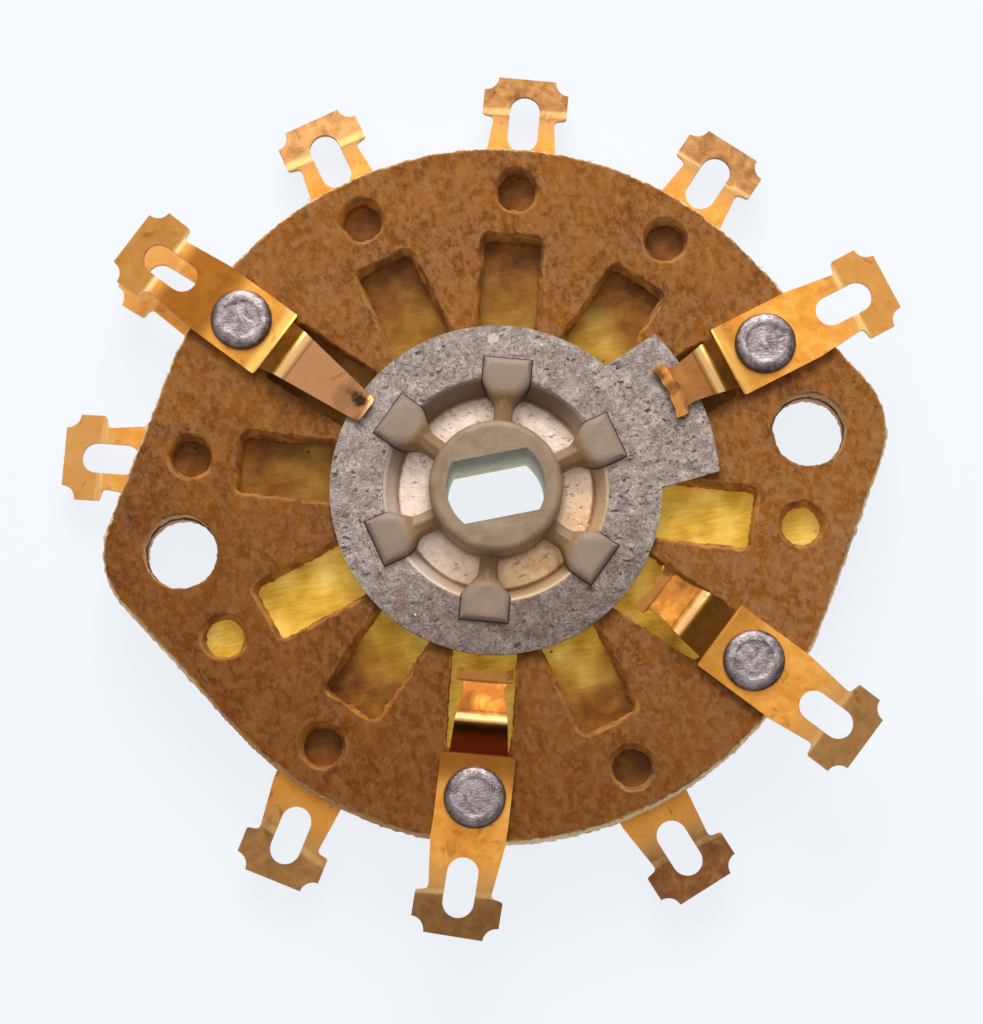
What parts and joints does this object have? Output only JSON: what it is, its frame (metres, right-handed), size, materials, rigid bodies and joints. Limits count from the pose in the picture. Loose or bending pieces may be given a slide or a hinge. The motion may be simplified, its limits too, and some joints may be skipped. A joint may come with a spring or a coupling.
{
  "type": "rotary switch wafer",
  "caption": "Rotary switch wafer: an eared laminated board with riveted spring clips on both faces and a lobed rotor whose contact rings turn between them, driven by a flatted shaft.",
  "frame": {"origin": "on the shaft's axis, at the middle of the board's thickness", "axes": "+X through the mounting holes, towards the ear beside places 2 and 3; +Z along the shaft, out of the front face; +Y towards place 12"},
  "size_m": [0.0558, 0.0561, 0.0078],
  "materials": {
    "phenolic": "matt, moulded sheet with visible fibre",
    "core": "smooth, translucent",
    "brass": "rolled spring strip",
    "rivet": "dull plated",
    "silver": "dull, worn silver plate",
    "moulding": "matt"
  },
  "bodies": {
    "stator": {"front_board_layer": "phenolic", "core_sheet": "core", "rear_board_layer": "phenolic", "front_clip_02_outer_leaf": "brass", "front_clip_02_inner_leaf": "brass", "front_clip_02_rivet": "rivet", "front_clip_04_outer_leaf": "brass", "front_clip_04_inner_leaf": "brass", "front_clip_04_rivet": "rivet", "front_clip_06_outer_leaf": "brass", "front_clip_06_inner_leaf": "brass", "front_clip_06_rivet": "rivet", "front_clip_10_outer_leaf": "brass", "front_clip_10_inner_leaf": "brass", "front_clip_10_rivet": "rivet", "rear_clip_01_outer_leaf": "brass", "rear_clip_01_inner_leaf": "brass", "rear_clip_01_rivet": "rivet", "rear_clip_05_outer_leaf": "brass", "rear_clip_05_inner_leaf": "brass", "rear_clip_05_rivet": "rivet", "rear_clip_07_outer_leaf": "brass", "rear_clip_07_inner_leaf": "brass", "rear_clip_07_rivet": "rivet", "rear_clip_09_outer_leaf": "brass", "rear_clip_09_inner_leaf": "brass", "rear_clip_09_rivet": "rivet", "rear_clip_10_outer_leaf": "brass", "rear_clip_10_inner_leaf": "brass", "rear_clip_10_rivet": "rivet", "rear_clip_11_outer_leaf": "brass", "rear_clip_11_inner_leaf": "brass", "rear_clip_11_rivet": "rivet", "rear_clip_12_outer_leaf": "brass", "rear_clip_12_inner_leaf": "brass", "rear_clip_12_rivet": "rivet"},
    "rotor": {"rotor_hub": "moulding", "front_contact_ring": "silver", "rear_contact_ring": "silver"}
  },
  "joints": [
    {"name": "rotor_spin", "type": "hinge", "parent": "stator", "child": "rotor", "pos_m": [0, 0, 0], "axis": [0, 0, 1], "continuous": true}
  ]
}
